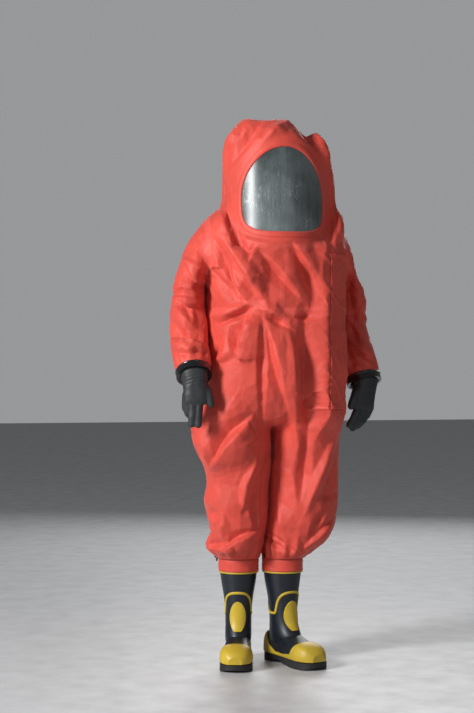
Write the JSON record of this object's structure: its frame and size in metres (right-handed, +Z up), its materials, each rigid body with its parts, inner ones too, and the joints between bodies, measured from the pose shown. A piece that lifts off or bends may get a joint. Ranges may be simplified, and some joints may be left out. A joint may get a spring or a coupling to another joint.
{
  "type": "chemical protective suit",
  "caption": "Gas-tight chemical protective suit in coated cloth: wide-visor hood, one-piece body, ringed rubber gloves, rubber boots, covered zip, back exhaust valves.",
  "frame": {"origin": "on the floor at the centre of the standing suit's bounding box", "axes": "+Z up, the wearer faces -Y, the wearer's left is +X"},
  "size_m": [0.7144, 0.4561, 1.82],
  "materials": {
    "suit_cloth": "coated woven cloth, satin",
    "visor": "clear sheet, scratched",
    "visor_rim": "matte",
    "dark_rubber": "matte",
    "zip_cloth": "woven",
    "zip_plastic": "matte",
    "zip_metal": "satin",
    "webbing": "woven webbing",
    "buckle": "moulded",
    "ring_plastic": "glossy black",
    "glove_rubber": "matte",
    "boot_rubber": "satin",
    "boot_yellow": "satin",
    "sole_rubber": "matte",
    "insole_cloth": "felt"
  },
  "bodies": {
    "suit": {"hood_shell": "suit_cloth", "torso_shell": "suit_cloth", "visor_lens": "visor", "visor_frame": "visor_rim", "visor_gasket": "dark_rubber", "zip_tape": "zip_cloth", "zip_backing": "suit_cloth", "zip_teeth_and_stops": "zip_plastic", "flap_seam_strip": "suit_cloth", "loop_tape": "zip_cloth", "waist_belt": "webbing", "belt_buckle": "buckle", "right_valve_body": "buckle", "right_valve_nut": "buckle", "right_valve_cap": "buckle", "right_thigh_shell": "suit_cloth", "left_valve_body": "buckle", "left_valve_nut": "buckle", "left_valve_cap": "buckle", "left_thigh_shell": "suit_cloth"},
    "zip_cover": {"zip_flap": "suit_cloth", "hook_tape": "zip_cloth"},
    "slider": {"zip_slider": "zip_metal", "zip_pull": "zip_metal"},
    "right_exhaust_disc": {"right_valve_disc": "dark_rubber"},
    "right_upper_arm": {"right_upper_sleeve": "suit_cloth", "right_elbow_fold": "suit_cloth"},
    "right_forearm": {"right_lower_sleeve": "suit_cloth", "right_cuff_ring": "ring_plastic"},
    "right_hand": {"right_glove": "glove_rubber", "right_glove_ring": "ring_plastic", "right_ring_seal": "dark_rubber"},
    "right_shin": {"right_knee_fold": "suit_cloth", "right_lower_leg_shell": "suit_cloth", "right_boot_band": "suit_cloth", "right_boot_upper": "boot_rubber", "right_outsole": "sole_rubber", "right_toe_cap": "boot_yellow", "right_rand": "boot_yellow", "right_shin_pad": "boot_yellow", "right_boot_trim": "boot_yellow", "right_insole": "insole_cloth"},
    "left_exhaust_disc": {"left_valve_disc": "dark_rubber"},
    "left_upper_arm": {"left_upper_sleeve": "suit_cloth", "left_elbow_fold": "suit_cloth"},
    "left_forearm": {"left_lower_sleeve": "suit_cloth", "left_cuff_ring": "ring_plastic"},
    "left_hand": {"left_glove": "glove_rubber", "left_glove_ring": "ring_plastic", "left_ring_seal": "dark_rubber"},
    "left_shin": {"left_knee_fold": "suit_cloth", "left_lower_leg_shell": "suit_cloth", "left_boot_band": "suit_cloth", "left_boot_upper": "boot_rubber", "left_outsole": "sole_rubber", "left_toe_cap": "boot_yellow", "left_rand": "boot_yellow", "left_shin_pad": "boot_yellow", "left_boot_trim": "boot_yellow", "left_insole": "insole_cloth"}
  },
  "joints": [
    {"name": "zip_cover_hinge", "type": "hinge", "parent": "suit", "child": "zip_cover", "pos_m": [0.15038, -0.19194, 1.1], "axis": [0, 0, -1], "range_deg": [0, 100]},
    {"name": "zip_slide", "type": "slide", "parent": "suit", "child": "slider", "axis": [0, 0, -1], "range_m": [0, 0.36]},
    {"name": "right_shoulder", "type": "hinge", "parent": "suit", "child": "right_upper_arm", "pos_m": [-0.229, 0.01, 1.373], "axis": [-1, 0, 0], "range_deg": [0, 100]},
    {"name": "right_elbow", "type": "hinge", "parent": "right_upper_arm", "child": "right_forearm", "pos_m": [-0.287, 0.028, 1.156], "axis": [-1, 0, 0], "range_deg": [0, 70], "deforming": ["right_elbow_fold"]},
    {"name": "right_glove_release", "type": "slide", "parent": "right_forearm", "child": "right_hand", "axis": [-0.0046, -0.6088, -0.7933], "range_m": [0, 0.07]},
    {"name": "right_knee", "type": "hinge", "parent": "suit", "child": "right_shin", "pos_m": [-0.121, 0.016, 0.545], "axis": [1, 0, 0], "range_deg": [0, 80], "deforming": ["right_knee_fold"]},
    {"name": "right_exhaust_lift", "type": "slide", "parent": "suit", "child": "right_exhaust_disc", "axis": [-0.2197, 0.9607, 0.1694], "range_m": [0, 0.0025], "stiffness_N_per_m": 60},
    {"name": "left_shoulder", "type": "hinge", "parent": "suit", "child": "left_upper_arm", "pos_m": [0.229, 0.01, 1.373], "axis": [-1, 0, 0], "range_deg": [0, 100]},
    {"name": "left_elbow", "type": "hinge", "parent": "left_upper_arm", "child": "left_forearm", "pos_m": [0.277, 0.034, 1.15], "axis": [-1, 0, 0], "range_deg": [0, 70], "deforming": ["left_elbow_fold"]},
    {"name": "left_glove_release", "type": "slide", "parent": "left_forearm", "child": "left_hand", "axis": [0.1262, -0.3884, -0.9128], "range_m": [0, 0.07]},
    {"name": "left_knee", "type": "hinge", "parent": "suit", "child": "left_shin", "pos_m": [0.109, 0.01, 0.545], "axis": [1, 0, 0], "range_deg": [0, 80], "deforming": ["left_knee_fold"]},
    {"name": "left_exhaust_lift", "type": "slide", "parent": "suit", "child": "left_exhaust_disc", "axis": [0.207, 0.9635, 0.1698], "range_m": [0, 0.0025], "stiffness_N_per_m": 60}
  ]
}
